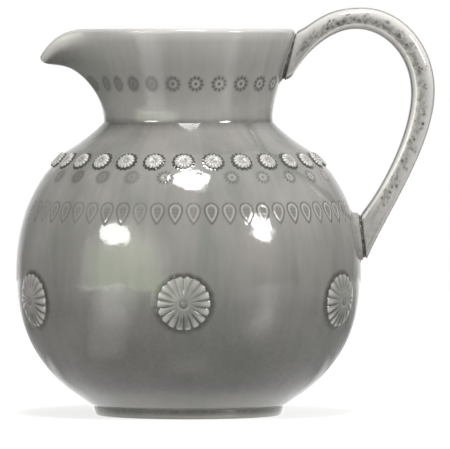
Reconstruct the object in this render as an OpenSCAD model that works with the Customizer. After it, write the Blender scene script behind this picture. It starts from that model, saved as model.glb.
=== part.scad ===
// Glazed stoneware jug: a round belly on a turned foot, a flared neck with a pulled
// pouring lip, a loop handle, and moulded flowers (sprigs) luted on round it.
// Millimetres. The origin is the centre of the foot on the table, +Z is up,
// the handle points along +X and the lip along -X.

/* [Belly] */
// Diameter of the belly at its widest
belly_d = 158.7; // [130:0.1:195]
// Height of the widest point above the table
belly_z = 64.5; // [50:0.5:80]
// How far below the floor the belly's lower curve would close
lower_pole = 8.3; // [5:0.1:14]
// How far above the daisy band the belly's upper curve would close
upper_pole = 29.2; // [20:0.1:40]
// Fullness of the belly's curve, where 2 is an ellipse
belly_fullness = 2.2; // [2:0.05:2.6]
// Thickness of the wall
wall = 4.5; // [3:0.1:6]
// Thickness of the floor
floor_t = 5; // [3.5:0.1:8]

/* [Shoulder] */
// Rise from the widest point to the lower edge of the sloping band of daisies
band_up = 47.3; // [38:0.1:58]
// Rise of the band from its lower to its upper edge
band_rise = 9.2; // [8:0.1:12]
// How far the band leans in over its rise
band_lean = 8.4; // [6:0.1:11]
// Rise of the shoulder from the band to the neck's seam
shoulder_rise = 12.5; // [8:0.1:18]
// How far the shoulder dips below a straight slope
shoulder_dip = 1.7; // [0:0.1:3]

/* [Neck and lip] */
// Diameter of the neck at the seam
neck_d = 80.4; // [66:0.1:97]
// How far the neck draws in above the seam
throat_in = 4.2; // [2:0.1:6]
// Height over which the neck draws in
throat_rise = 4.5; // [2:0.1:8]
// Height of the neck from its seam to the rim
neck_h = 43.5; // [34:0.5:56]
// Diameter of the rim where its rounding starts, without the lip
rim_d = 97.8; // [84:0.1:118]
// Thickness of the rounded rim
rim_t = 3.4; // [2.4:0.1:4.4]
// How far the lip reaches out past the rim
lip_reach = 19.2; // [12:0.1:24]
// How far the lip's tip drops below the rim
lip_drop = 12; // [6:0.1:15]
// Half of the angle that the lip takes up round the rim
lip_half_angle = 50; // [40:1:65]
// Sharpness of the lip seen from above
lip_point = 4; // [2:0.1:4.8]
// Sharpness of the lip's drop, over and above its sharpness from above
lip_roll = 3.3; // [2:0.1:4]

/* [Foot] */
// Diameter of the foot on the table
foot_d = 83.8; // [66:0.1:104]
// How far the foot widens from the table up to the belly
foot_flare = 2; // [0:0.1:4]
// Height of the floor's underside above the table
foot_h = 5; // [3:0.1:7]
// Width of the foot ring on the table
foot_w = 5.5; // [3:0.1:8]
// Bevel of the foot's lower edges
foot_edge = 0.6; // [0.3:0.1:1]

/* [Handle] */
// How far the handle's highest point stands above the rim
handle_rise = 10.5; // [4:0.5:20]
// How far the handle's highest point stands out from the rim
handle_top_out = 29; // [22:0.5:38]
// How far the handle's outermost point stands out past the belly
handle_out = 34; // [24:0.1:46]
// Drop from the rim to the handle's outermost point
handle_side_drop = 28.5; // [20:0.5:38]
// Thickness of the handle at its highest point
handle_top_t = 10; // [7:0.1:13]
// Thickness of the handle at its outermost point
handle_side_t = 11; // [8:0.1:14]
// Width of the handle across the strap
handle_w = 15; // [11:0.1:20]
// Width of the handle where it is luted on
root_w = 19; // [14:0.1:25]
// Height of the upper root on the neck
upper_root_h = 22.5; // [16:0.1:28]
// Drop from the rim to the upper root
upper_root_drop = 2.4; // [2.2:0.1:6]
// Height of the lower root on the belly
lower_root_h = 22; // [16:0.1:28]
// Rise from the belly's widest point to the lower root's foot
lower_root_up = 5.5; // [0:0.1:14]

/* [Rosettes] */
// Diameter of a belly rosette
rosette_d = 24.6; // [16:0.1:30]
// Drop from the belly's widest point to the rosettes' centres
rosette_drop = 10.5; // [4:0.5:24]
// How far a rosette stands proud at its middle
rosette_crown = 2.6; // [1.6:0.1:4]
// Number of petals on a rosette
rosette_petals = 18; // [12:1:22]

/* [Daisies] */
// Number of daisies round the shoulder
daisies = 28; // [18:1:32]
// Diameter of a daisy
daisy_d = 8.8; // [6:0.1:9.6]
// Rise from the band's lower edge to the daisies' centres
daisy_up = 5.6; // [4:0.1:6.4]
// How far a daisy stands proud at its middle
daisy_crown = 1.7; // [1:0.1:2.4]
// Number of petals on a daisy
daisy_petals = 14; // [10:1:16]

/* [Joins] */
// Thickness of the slip behind each piece that is luted to the wall
slip_t = 0.2; // [0.1:0.05:0.4]

/* [Hidden] */
belly_r = belly_d / 2;
neck_r = neck_d / 2;
rim_r = rim_d / 2;
belly_drop = belly_z - foot_h + lower_pole;
belly_rise = band_up + upper_pole;
neck_z = belly_z + band_up + band_rise + shoulder_rise;
rim_z = neck_z + neck_h;
rosette_z = belly_z - rosette_drop;
GLAZE = "#8f8d88";
RELIEF = "#b4b1a8";
EDGE = "#a89f92";

// Places of the six rosettes round the belly: put on by hand, so not quite even
rosette_azimuths = [-91.4, -28.7, 30.2, 89, 147.9, 206.7];
// Place of the first daisy
daisy_azimuth = -92;

daisy_names = [for (i = [1:daisies]) str("shoulder_daisy_", i < 10 ? "0" : "", i)];
rosette_names = [for (i = [1:len(rosette_azimuths)]) str("belly_rosette_", i)];

$fn = 96;
body_steps = 18;
neck_rows = 10;
neck_columns = 72;
rim_rows = 4;
handle_steps = 12;
handle_sides = 24;
root_rings = 3;

function mix(a, b, t) = a + (b - a) * t;
function unit(v) = v / norm(v);
// A point of a curve of any degree, by repeated mixing of its control points
function curve(points, t) = len(points) == 1 ? points[0]
  : curve([for (i = [0:len(points) - 2]) mix(points[i], points[i + 1], t)], t);
function reversed(list) = [for (i = [len(list) - 1:-1:0]) list[i]];

// The belly is a superellipse turned round Z, with its own height above and below the widest point
function belly_point(u, height) = let (power = 2 / belly_fullness)
  [belly_r * pow(cos(u), power), height * pow(sin(u), power)];
function belly_turn(rise, height) = asin(pow(rise / height, belly_fullness / 2));

lower_turn = belly_turn(belly_z - foot_h, belly_drop);
upper_turn = belly_turn(band_up, belly_rise);
lower_belly = [for (i = [body_steps:-1:1]) let (p = belly_point(lower_turn * i / body_steps, belly_drop))
  [p.x, belly_z - p.y]];
upper_belly = [for (i = [0:body_steps]) let (p = belly_point(upper_turn * i / body_steps, belly_rise))
  [p.x, belly_z + p.y]];
band_low = upper_belly[body_steps];
band_high = band_low + [-band_lean, band_rise];
seam = [neck_r, neck_z];
shoulder_hollow = (band_high + seam) / 2 - [0, shoulder_dip];
shoulder = [for (i = [0:body_steps / 2]) curve([band_high, shoulder_hollow, seam], 2 * i / body_steps)];
outside = concat(lower_belly, upper_belly, shoulder);

// The inside follows the outside at the wall's thickness, down to the flat floor
function inward(i) = let (along = unit(outside[i + 1] - outside[i - 1]))
  outside[i] - wall * [along.y, -along.x];
floor_z = foot_h + floor_t;
offsets = [for (i = [1:len(outside) - 2]) inward(i)];
inside = [for (p = offsets) if (p.y > floor_z) p];
floor_r = lookup(floor_z, [for (p = offsets) if (p.y < belly_z) [p.y, p.x]]);
outside_radius = [for (p = outside) [p.y, p.x]];

module body() {
  wall_top = [neck_r - wall, neck_z];
  color(GLAZE) rotate_extrude()
    polygon(concat([[0, foot_h]], outside, [wall_top], reversed(inside),
      [[floor_r, floor_z], [0, floor_z]]));
}

// Profiles of the neck from seam to rim, on the handle's side and along the lip.
// The pulls place each profile's two middle control points: share of the way out and of the way up,
// or along the lip, drops below the rim as shares of the lip's own.
rim_end_z = rim_z - rim_t / 2;
rim_rise = rim_end_z - neck_z;
lip_r = rim_r + lip_reach;
throat = [neck_r - throat_in, neck_z + throat_rise];
plain_pulls = [[0.13, 0.42], [0.66, 0.64]];
lip_pulls = [[0.28, 0.3], [0.88, 1.5]];
plain_profile = concat(
  [seam, throat],
  [for (pull = plain_pulls) [mix(neck_r, rim_r, pull.x), neck_z + pull.y * rim_rise]],
  [[rim_r, rim_end_z]]);
lip_profile = concat(
  [seam, throat],
  [for (pull = lip_pulls) [mix(neck_r, lip_r, pull.x), rim_end_z - pull.y * lip_drop]],
  [[lip_r, rim_end_z - lip_drop]]);
// Share of the lip at an azimuth: one at the lip's middle, none outside its angle
function lip_share(azimuth) = let (turn = abs(azimuth - 180) / lip_half_angle)
  turn >= 1 ? 0 : pow((1 + cos(180 * turn)) / 2, lip_point);
function neck_profile(azimuth) = let (out = lip_share(azimuth), down = pow(out, lip_roll))
  [for (i = [0:len(plain_profile) - 1])
    [mix(plain_profile[i].x, lip_profile[i].x, out), mix(plain_profile[i].y, lip_profile[i].y, down)]];
function neck_point(azimuth, t) = let (p = curve(neck_profile(azimuth), t))
  [p.x * cos(azimuth), p.x * sin(azimuth), p.y];
// Columns stand closer together round the lip than behind it
crowding = 34;
function neck_azimuth(i) = let (even = 360 * i / neck_columns) even + crowding * sin(even);

nudge = 0.01;
function neck_along(azimuth, t) = unit(neck_point(azimuth, t) - neck_point(azimuth, t - nudge));
function neck_across(azimuth, t) = unit(neck_point(azimuth + nudge, t) - neck_point(azimuth - nudge, t));
function neck_outward(azimuth, t) = unit(cross(neck_across(azimuth, t), neck_along(azimuth, t)));
// The wall is square to the surface, and level at the seam so that the neck sits flat on the shoulder
level_share = 0.25;
function neck_inner_point(azimuth, t) = let (
    out = neck_outward(azimuth, t),
    level = min(1, t / level_share),
    thickness = mix(wall, rim_t, t))
  neck_point(azimuth, t) - thickness * unit([out.x, out.y, out.z * level]);
// The rim is a half round from the outer to the inner edge
function rim_point(azimuth, turn) = let (
    outer = neck_point(azimuth, 1),
    inner = neck_inner_point(azimuth, 1))
  (outer + inner) / 2 + cos(turn) * (outer - inner) / 2
    + sin(turn) * rim_t / 2 * neck_along(azimuth, 1);

// Triangles between rings of equally many points, from each ring to the next.
// The diagonals lean left and right by turns, so that both sides of a petal are alike.
function strips(rings, sides) = [
  for (r = [0:rings - 2], s = [0:sides - 1]) let (
      a = r * sides + s,
      b = r * sides + (s + 1) % sides,
      c = b + sides,
      d = a + sides)
    each s % 2 == 0 ? [[a, b, c], [a, c, d]] : [[a, b, d], [b, c, d]]];
// Triangles that close one ring, whose first point has this number
function lid(first, sides) = [for (s = [1:sides - 2]) [first, first + s, first + s + 1]];
function flipped(faces) = [for (face = faces) reversed(face)];
// A closed solid through rings of points, with a flat lid on the first and the last ring
module loft(rings) {
  sides = len(rings[0]);
  far = (len(rings) - 1) * sides;
  polyhedron([for (ring = rings) each ring],
    concat(strips(len(rings), sides), flipped(lid(0, sides)), lid(far, sides)));
}

module neck_spout() {
  azimuths = [for (i = [0:neck_columns - 1]) neck_azimuth(i)];
  outer = [for (r = [0:neck_rows]) [for (a = azimuths) neck_point(a, r / neck_rows)]];
  rim = [for (r = [1:rim_rows - 1]) [for (a = azimuths) rim_point(a, 180 * r / rim_rows)]];
  inner = [for (r = [neck_rows:-1:0]) [for (a = azimuths) neck_inner_point(a, r / neck_rows)]];
  // The first ring again at the end closes the foot of the neck
  rings = concat(outer, rim, inner);
  count = len(rings) * neck_columns;
  faces = [for (face = strips(len(rings) + 1, neck_columns)) [for (i = face) i % count]];
  color(GLAZE) polyhedron([for (ring = rings) each ring], flipped(faces));
}

// The ring's top follows the belly, so that the two meet all the way across
module foot_ring() {
  outer = foot_d / 2;
  inner = outer - foot_w;
  meet = outer + foot_flare;
  belly_height = [for (p = lower_belly) [p.x, p.y]];
  covered = [for (p = reversed(lower_belly)) if (p.x > inner && p.x < meet) p];
  color(EDGE) rotate_extrude()
    polygon(concat(
      [[inner + foot_edge, 0], [outer - foot_edge, 0], [outer, foot_edge]],
      [[meet, lookup(meet, belly_height)]],
      covered,
      [[inner, lookup(inner, belly_height)], [inner, foot_edge]]));
}

// The handle's outer and inner edges, each three curves end to end: up from the neck,
// round a quarter ellipse and down to the belly
neck_radius = [for (r = [0:neck_rows]) let (p = curve(plain_profile, r / neck_rows)) [p.y, p.x]];
function on_neck(z) = [lookup(z, neck_radius) + slip_t, z];
function on_belly(z) = [lookup(z, outside_radius) + slip_t, z];
upper_root_top = rim_z - upper_root_drop;
lower_root_foot = belly_z + lower_root_up;
inner_top_back = 1;
outer_top = [rim_r + handle_top_out, rim_z + handle_rise];
inner_top = outer_top - [inner_top_back, handle_top_t];
outer_side = [belly_r + handle_out, rim_z - handle_side_drop];
inner_side = outer_side - [handle_side_t, 0];
outer_ends = [on_neck(upper_root_top), on_belly(lower_root_foot)];
inner_ends = [on_neck(upper_root_top - upper_root_h), on_belly(lower_root_foot + lower_root_h)];
// Pulls of each edge's curves: away from the neck, back from the top, down from the side
// and away from the belly
outer_pulls = [[5, 4.5], [15, 0], [0, 20.5], [14, 20]];
inner_pulls = [[8, 7], [14.5, 0], [0, 19.5], [13, 6]];
// Pull that makes a curve a quarter of an ellipse
quarter = 0.5523;
function handle_edge(top, side, ends, pulls) = [
  [ends[0], ends[0] + pulls[0], top - pulls[1], top],
  [top, [mix(top.x, side.x, quarter), top.y], [side.x, mix(side.y, top.y, quarter)], side],
  [side, side - pulls[2], ends[1] + pulls[3], ends[1]],
];
outer_edge = handle_edge(outer_top, outer_side, outer_ends, outer_pulls);
inner_edge = handle_edge(inner_top, inner_side, inner_ends, inner_pulls);
// The strap widens over its last stretch at each end, in shares of a curve
root_stretch = 0.7;
// Squareness of the strap's section, where 1 is an ellipse
strap_power = 0.72;
function strap_width(s) = let (away = min(s, 3 - s))
  mix(root_w, handle_w, sin(90 * min(1, away / root_stretch)));
function powered(x) = sign(x) * pow(abs(x), strap_power);
function strap_point(s, turn, size = 1) = let (
    part = min(2, floor(s)),
    outer = curve(outer_edge[part], s - part),
    inner = curve(inner_edge[part], s - part),
    middle = (outer + inner) / 2,
    out = size * powered(cos(turn)) * (outer - inner) / 2)
  [middle.x + out.x, size * powered(sin(turn)) * strap_width(s) / 2, middle.y + out.y];
// A root's end lies on the wall, which is round about the jug's axis
function seated(p, radius) = let (r = lookup(p.z, radius) + slip_t) [sqrt(r * r - p.y * p.y), p.y, p.z];

module handle() {
  turns = [for (i = [0:handle_sides - 1]) 360 * i / handle_sides];
  sections = 3 * handle_steps;
  sizes = [for (i = [1:root_rings]) i / root_rings];
  color(RELIEF) loft(concat(
    [for (size = sizes) [for (turn = turns) seated(strap_point(0, turn, size), neck_radius)]],
    [for (i = [1:sections - 1]) [for (turn = turns) strap_point(3 * i / sections, turn)]],
    [for (size = reversed(sizes))
      [for (turn = turns) seated(strap_point(3, turn, size), outside_radius)]]));
}

// A point over the wall: right and up along it from a place on it, and proud of it.
// The wall is round about the jug's axis, and lean is its slope from upright.
function over_wall(azimuth, z, lean, right, up, proud) = let (
    height = z + up * cos(lean),
    r = lookup(height, outside_radius),
    turn = azimuth + right / r * 180 / PI,
    out = r + proud * cos(lean))
  [out * cos(turn), out * sin(turn), height + proud * sin(lean)];

// A pressed flower on the wall. Each row goes once round it, through a ridge and a valley for each petal:
// its share of the radius on a ridge and in a valley, then its share of the crown on each.
module flower(azimuth, z, lean, d, crown, petals, rows, backs) {
  sides = 2 * petals;
  function ring(out, rise) = [for (s = [0:sides - 1]) let (
      turn = 360 * s / sides,
      radius = out[s % 2] * d / 2,
      proud = rise[s % 2] * crown + slip_t)
    over_wall(azimuth, z, lean, radius * cos(turn), radius * sin(turn), proud)];
  edge = rows[len(rows) - 1];
  loft(concat(
    [for (row = rows) ring([row[0], row[1]], [row[2], row[3]])],
    [for (share = backs) ring(share * [edge[0], edge[1]], [0, 0])]));
}

rosette_rows = [
  [0.16, 0.16, 0.92, 0.92],
  [0.25, 0.25, 0.72, 0.72],
  [0.32, 0.32, 1, 0.8],
  [0.66, 0.66, 0.92, 0.62],
  [0.9, 0.86, 0.66, 0.34],
  [1, 0.92, 0.34, 0.16],
];
rosette_backs = [1, 0.66, 0.33];
daisy_rows = [
  [0.3, 0.3, 0.9, 0.6],
  [0.45, 0.4, 1, 0.55],
  [0.86, 0.74, 0.9, 0.45],
  [1, 0.82, 0.4, 0.25],
];
daisy_backs = [1];

module belly_rosette(azimuth) {
  r = rosette_d / 2;
  lean = atan2(
    lookup(rosette_z - r, outside_radius) - lookup(rosette_z + r, outside_radius), rosette_d);
  color(RELIEF)
    flower(azimuth, rosette_z, lean, rosette_d, rosette_crown, rosette_petals, rosette_rows, rosette_backs);
}

module shoulder_daisy(azimuth) {
  z = belly_z + band_up + daisy_up;
  lean = atan2(band_lean, band_rise);
  color(RELIEF) flower(azimuth, z, lean, daisy_d, daisy_crown, daisy_petals, daisy_rows, daisy_backs);
}

body();
neck_spout();
handle();
foot_ring();
for (i = [0:len(rosette_names) - 1])
  belly_rosette(rosette_azimuths[i]);
for (i = [0:daisies - 1])
  shoulder_daisy(daisy_azimuth + 360 * i / daisies);
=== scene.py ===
import bpy
import numpy as np
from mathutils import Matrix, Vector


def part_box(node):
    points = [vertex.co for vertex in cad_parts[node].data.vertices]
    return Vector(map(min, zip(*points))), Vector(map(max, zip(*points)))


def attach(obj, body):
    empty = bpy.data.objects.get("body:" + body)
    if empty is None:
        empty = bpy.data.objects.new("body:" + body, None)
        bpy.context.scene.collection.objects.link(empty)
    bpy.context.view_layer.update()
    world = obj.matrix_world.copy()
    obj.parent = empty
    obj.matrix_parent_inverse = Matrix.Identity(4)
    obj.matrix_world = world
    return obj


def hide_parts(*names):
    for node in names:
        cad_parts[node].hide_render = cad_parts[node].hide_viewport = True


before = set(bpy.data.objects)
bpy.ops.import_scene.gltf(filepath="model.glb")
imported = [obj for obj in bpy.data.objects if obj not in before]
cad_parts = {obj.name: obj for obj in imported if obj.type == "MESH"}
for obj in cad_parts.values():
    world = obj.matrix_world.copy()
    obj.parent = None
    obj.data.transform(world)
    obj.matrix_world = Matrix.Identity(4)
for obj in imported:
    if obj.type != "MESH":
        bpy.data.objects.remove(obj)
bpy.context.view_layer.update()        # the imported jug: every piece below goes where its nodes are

bpy.context.scene.view_settings.view_transform = "Standard"

# BELLY AND SHOULDER. One hollow piece thrown in grey stoneware, with a band of drops incised
# round it below the shoulder and a row of small flowers stamped above them. It is dipped in
# a glossy grey glaze, which breaks pale on edges and pools dark in hollows.
MM = 0.001
body_low, body_high = (np.array(corner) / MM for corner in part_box("body"))
belly_r = body_high[0]
# The seam with the neck lies a little above the node's top
seam_lift = 1.2
underside_z, seam_z = body_low[2], body_high[2] + seam_lift
neck_r = 39.0
widest_z = 64.5
belly_fullness = 2.2
lower_height, upper_height = 69.0, 76.5
band_up, band_rise, band_lean = 47.3, 9.2, 8.4
shoulder_dip = 2.0
wall, floor_t = 4.5, 5.0
CURVE_POINTS = 200


def bezier(points, t):
    """A point of a curve of any degree at t, by mixing neighbouring control points until one is left."""
    points = list(points)
    while len(points) > 1:
        points = [a + (b - a) * t for a, b in zip(points[:-1], points[1:])]
    return points[0]


def superellipse(height, stop):
    """A quarter of a superellipse from its widest point up to a stop: the belly's radius times
    cos(u)^(2/n) out and the height times sin(u)^(2/n) up."""
    power = 2 / belly_fullness
    turn = np.linspace(0, np.arcsin((stop / height) ** (1 / power)), CURVE_POINTS)
    return np.stack([belly_r * np.cos(turn) ** power, height * np.sin(turn) ** power], axis=1)


def eased(line, step, ease):
    """A line of points taken again at even steps along its length, with its corners eased by
    a bell-shaped running average, three of its widths each way. Both ends stay where they are."""
    length = np.append(0, np.cumsum(np.hypot(*np.diff(line, axis=0).T)))
    even = np.linspace(0, length[-1], int(length[-1] / step) + 1)
    line = np.stack([np.interp(even, length, line[:, k]) for k in (0, 1)], axis=1)
    reach = int(3 * ease / step)
    bell = np.exp(-0.5 * (np.arange(-reach, reach + 1) * step / ease) ** 2)
    before, after = 2 * line[0] - line[reach:0:-1], 2 * line[-1] - line[-2:-reach - 2:-1]
    padded = np.concatenate([before, line, after])
    return np.stack([np.convolve(padded[:, k], bell / bell.sum(), "valid") for k in (0, 1)], axis=1)


below = superellipse(lower_height, widest_z - underside_z)[::-1] * [1, -1] + [0, widest_z]
# The wall drops a little more steeply over the last millimetres, to the foot
foot_dip, dip_from_r, dip_to_r = 0.8, 52.0, 44.4
below[:, 1] -= foot_dip * np.clip((dip_from_r - below[:, 0]) / (dip_from_r - dip_to_r), 0, 1) ** 2
above = superellipse(upper_height, band_up) + [0, widest_z]
band_low = above[-1]
band_high = band_low + [-band_lean, band_rise]
seam = np.array([neck_r, seam_z])
hollow = (band_high + seam) / 2 - [0, shoulder_dip]
# The way the line leans through the seam
throat = np.array([-1.0, 1.5])
fillet_reach = 1.2
fillet = seam - fillet_reach * throat
SHOULDER_POINTS = 60
shoulder = bezier([band_high, hollow, fillet, seam], np.linspace(0, 1, SHOULDER_POINTS)[:, None])
OUTLINE_STEP, OUTLINE_EASE = 0.25, 1.5
outline = eased(np.concatenate([below, above[1:], shoulder]), OUTLINE_STEP, OUTLINE_EASE)
outline_s = np.arange(len(outline)) * OUTLINE_STEP
along = np.gradient(outline, axis=0)
along /= np.hypot(*along.T)[:, None]
outline_normal = np.stack([along[:, 1], -along[:, 0]], axis=1)


def wall_place(z):
    """How far along the outline, from the underside up, the wall reaches a height."""
    return np.interp(z, outline[:, 1], outline_s)


def directions(count):
    """Azimuths of a number of places set evenly round the jug."""
    return np.arange(count) * 2 * np.pi / count


def turned(r, z, azimuth):
    """Points at a radius and a height about the jug's axis: r cos(azimuth), r sin(azimuth), z."""
    return np.stack(np.broadcast_arrays(r * np.cos(azimuth), r * np.sin(azimuth), z), axis=-1)


def on_wall(azimuth, s, proud):
    """A point over the outer wall: at an azimuth, s millimetres along the outline, and proud of it
    along the wall's own normal."""
    r, z = (np.interp(s, outline_s, outline[:, k]) for k in (0, 1))
    out, up = (np.interp(s, outline_s, outline_normal[:, k]) for k in (0, 1))
    return turned(r + proud * out, z + proud * up, azimuth)


def bump(x, width):
    """A smooth bump: one at zero, fading to nothing over about twice the width."""
    return np.exp(-(x / width) ** 2)


def rise(x, start, stop):
    """A smooth step from nought at start to one at stop."""
    t = np.clip((x - start) / (stop - start), 0, 1)
    return t * t * (3 - 2 * t)


def nearest(azimuth, count, first):
    """Angle from the nearest of count places set evenly round the jug, and that place's number."""
    number = np.round((azimuth - first) * count / (2 * np.pi))
    return azimuth - first - number * 2 * np.pi / count, number


def stamped_flower(right, up, turn, pits, pit_at, pit_long, pit_wide, ring_at, bed_dark, filled):
    """One stamped flower round right = up = 0: a shallow bed with a ring of pits at a radius, a raised
    ring inside them and a dot in the middle. By the share filled, glaze blurs the pits and darkens the
    bed. Gives its height, pooled glaze and thin glaze."""
    away = np.hypot(right, up)
    petal = 2 * np.pi / pits
    side = (np.arctan2(up, right) + turn) % petal - petal / 2
    pit = bump(away * np.cos(side) - pit_at, pit_long * (1 + 0.4 * filled))
    pit = pit * bump(away * np.sin(side), pit_wide * (1 + 0.8 * filled)) * (1 - 0.45 * filled)
    ring, dot = ((1 - 0.75 * filled) * bump(away - at, size) for at, size in ((ring_at, 0.45), (0, 0.5)))
    bed = (1 - rise(away, pit_at + 0.3 * pit_long, pit_at + 1.5 * pit_long)) * (1 - 0.8 * ring)
    pool = np.maximum(pit, (bed_dark + 0.3 * filled) * bed) + 1.2 * bed_dark * dot
    return -0.06 * pit + 0.03 * ring - 0.05 * dot, pool, 0.25 * ring


drops, first_drop, drop_z = 57, np.radians(-88), 94.4
drop_half_w, drop_half_h = 3.05, 4.9
seed_places, seed_size = ((0.8, 1.9), (0.65, 0.3), (0, -1.3)), 0.55
handle_half_angle = np.radians(9)


def drop_relief(right, up):
    """One incised drop, round end up: half its width is as sqrt(1 - t^2) * sqrt(1 + t) at a share t
    of its half height, over the greatest value that this takes, at t = 1/3. A groove follows the outline,
    with a raised rim inside it and a hollow in the middle that holds five seeds. Gives its height, pooled
    glaze and thin glaze."""
    t = np.linspace(-1, 1, 121)
    half = drop_half_w * np.sqrt((1 - t * t) * (1 + t)) / np.sqrt(32 / 27)
    edge = np.min(np.hypot(np.abs(right)[..., None] - half, up[..., None] - t * drop_half_h), axis=-1)
    within = np.abs(right) < np.interp(up / drop_half_h, t, half, 0, 0)
    inside = np.where(within, edge, -edge)
    groove, rim, middle = bump(edge, 0.45), bump(inside - 0.85, 0.4), rise(inside, 0.9, 1.7)
    seeds = sum(bump(np.hypot(np.abs(right) - x, up - y), seed_size) for x, y in seed_places)
    height = 0.03 * rim - 0.06 * groove - 0.05 * middle + 0.04 * seeds
    return height, 0.7 * groove + 0.2 * middle + 0.38 * seeds, 0.28 * rim


row_flowers, first_row_flower, row_z = 27, np.radians(-85.8), 110.6


def belly_relief(azimuth, s):
    """Height, pooled glaze and thin glaze of the drops and of the stamped row, each drawn round the
    nearest of its places and pressed unevenly. Glaze fills them towards the lip. No drop is cut under the
    handle's root."""
    r = np.interp(s, outline_s, outline[:, 0])
    turn, number = nearest(azimuth, drops, first_drop)
    at = first_drop + number * 2 * np.pi / drops
    filled = rise(-np.cos(at), -0.1, 0.45)
    press = 0.85 + 0.15 * np.sin(2.4 * number) + 0.2 * rise(np.cos(at), 0.2, 0.6)
    press = press * (1 - filled * (0.25 + 0.2 * np.sin(1.9 * number)))
    press = press * (np.abs((at + np.pi) % (2 * np.pi) - np.pi) > handle_half_angle)
    height, pool, thin = drop_relief(turn * r, np.broadcast_to(s - wall_place(drop_z), r.shape))
    drop = [height * press, pool * press, thin * press * (1 - 0.8 * filled)]
    turn, number = nearest(azimuth, row_flowers, first_row_flower)
    press = 0.85 + 0.15 * np.sin(1.7 * number)
    flower = [part * press for part in stamped_flower(
        turn * r, s - wall_place(row_z), number, pits=12, pit_at=2.85, pit_long=0.85, pit_wide=0.45,
        ring_at=1.4, bed_dark=0.18, filled=rise(-np.cos(azimuth), 0.1, 0.45))]
    return [a + b for a, b in zip(drop, flower)]


def graded(start, stop, coarse, fine, bands):
    """Places from start to stop, at the fine step inside the bands and the coarse step elsewhere, and
    whether each is a fine one."""
    stops = [start] + [end for band in bands for end in band] + [stop]
    places, flags = [], []
    for k, (a, b) in enumerate(zip(stops[:-1], stops[1:])):
        step = fine if k % 2 else coarse
        count = max(1, int(np.ceil((b - a) / step)))
        part = np.linspace(a, b, count + 1)
        part = part if k % 2 else part[(k > 0):len(part) - (k < len(stops) - 2)]
        places.append(part)
        flags.append(np.full(len(part), bool(k % 2)))
    return np.concatenate(places), np.concatenate(flags)


def skin(name, rings, pools, thins, looped=False):
    """A mesh through a list of rings of points, each going once round. Rings of equal number are joined
    by quads. Where one has a whole number of times as many as the next, triangles fan out to it, and a
    ring of one point is a pole. A looped skin joins its last ring to its first."""
    counts = np.array([len(ring) for ring in rings])
    starts = np.append(0, np.cumsum(counts))[:-1]
    faces = []
    pairs = [(low, low + 1) for low in range(len(rings) - 1)]
    for low, high in pairs + [(len(rings) - 1, 0)] * looped:
        n, m = counts[low], counts[high]
        i, j = np.arange(n), np.arange(m)
        a, b = starts[low], starts[high]
        if n == m:
            faces += np.stack([a + i, a + (i + 1) % n, b + (i + 1) % n, b + i], axis=1).tolist()
        elif n > m:
            k = n // m
            faces += np.stack([a + i, a + (i + 1) % n, b + (i + k // 2) // k % m], axis=1).tolist()
            if m > 1:
                faces += np.stack([b + (j + 1) % m, b + j, a + j * k + k - k // 2], axis=1).tolist()
        else:
            k = m // n
            faces += np.stack([b + (j + 1) % m, b + j, a + (j + k // 2) // k % n], axis=1).tolist()
            if n > 1:
                faces += np.stack([a + i, a + (i + 1) % n, b + i * k + k - k // 2], axis=1).tolist()
    mesh = bpy.data.meshes.new(name)
    mesh.from_pydata((np.concatenate(rings) * MM).tolist(), [], faces)
    for label, parts in (("pool", pools), ("thin", thins)):
        values = np.concatenate([np.broadcast_to(p, n) for p, n in zip(parts, counts)])
        layer = mesh.attributes.new(label, "FLOAT", "POINT")
        layer.data.foreach_set("value", values.astype(np.float32))
    mesh.shade_smooth()
    return mesh


def linear(colour):
    """An sRGB hex colour as the linear colour that a shader takes."""
    srgb = np.array([int(colour[k:k + 2], 16) for k in (1, 3, 5)]) / 255
    rgb = np.where(srgb <= 0.04045, srgb / 12.92, ((srgb + 0.055) / 1.055) ** 2.4)
    return (*rgb.tolist(), 1.0)


def add(tree, kind, settings, inputs):
    """Adds a node of a kind to a tree, gives it its settings, and fills its inputs: another node's
    output is linked, and anything else is set on the socket."""
    node = tree.nodes.new(kind)
    for key, value in settings.items():
        setattr(node, key, value)
    for key, value in inputs.items():
        if isinstance(value, bpy.types.NodeSocket):
            tree.links.new(value, node.inputs[key])
        else:
            node.inputs[key].default_value = value
    return node


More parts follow.
